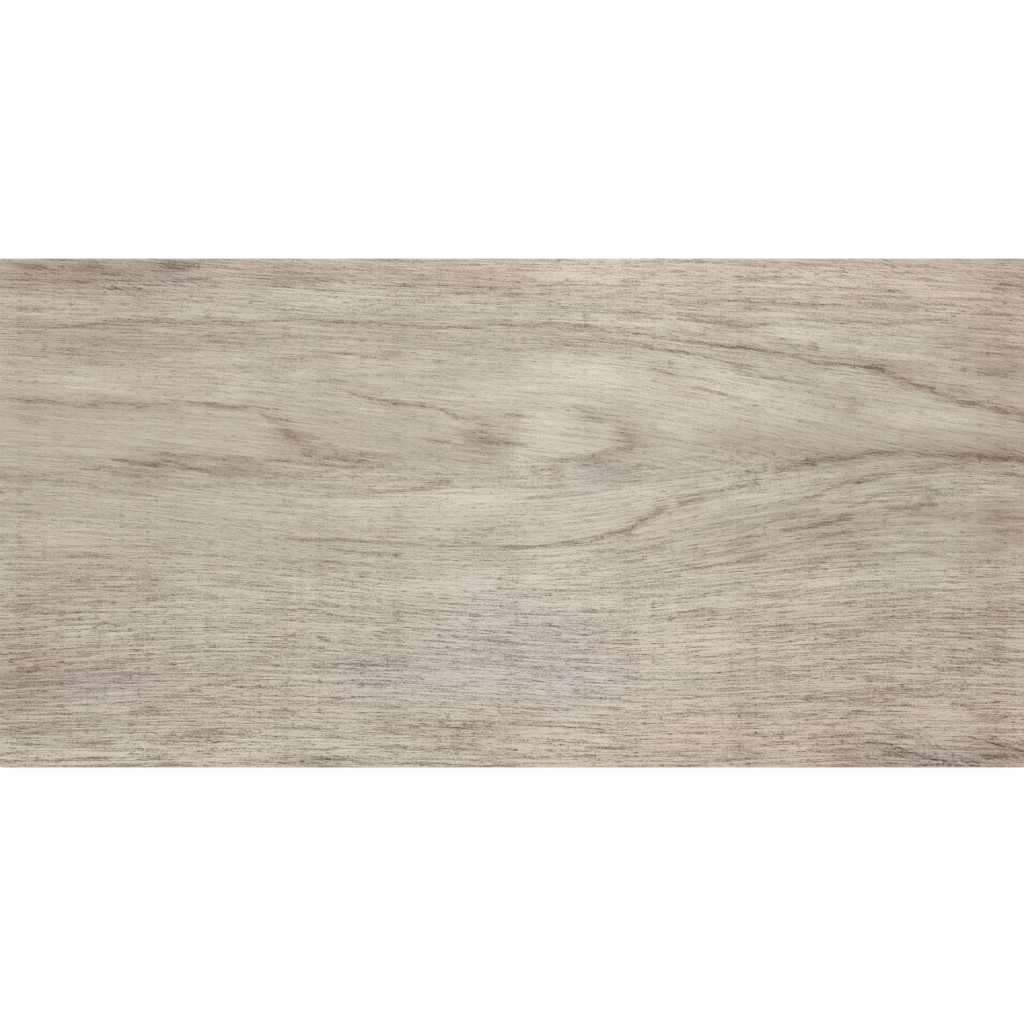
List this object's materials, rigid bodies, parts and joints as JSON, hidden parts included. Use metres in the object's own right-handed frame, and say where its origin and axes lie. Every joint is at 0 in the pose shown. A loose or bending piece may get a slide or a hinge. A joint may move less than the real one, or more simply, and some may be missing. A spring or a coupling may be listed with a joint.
{
  "type": "wood-look ceramic tile",
  "caption": "Flat rectangular ceramic floor or wall tile, glazed face with a printed oak grain, softened arris and a keying grid on the back.",
  "frame": {"origin": "middle of the plane that the back's ribs rest on, under the middle of the glazed face", "axes": "+X along the length and the printed grain, towards the right of the face; +Y across the width, towards the top of the face; +Z out of the glazed face"},
  "size_m": [0.598, 0.297, 0.0085],
  "materials": {
    "glazed_body": "matte"
  },
  "bodies": {
    "root": {"tile": "glazed_body"}
  },
  "joints": []
}
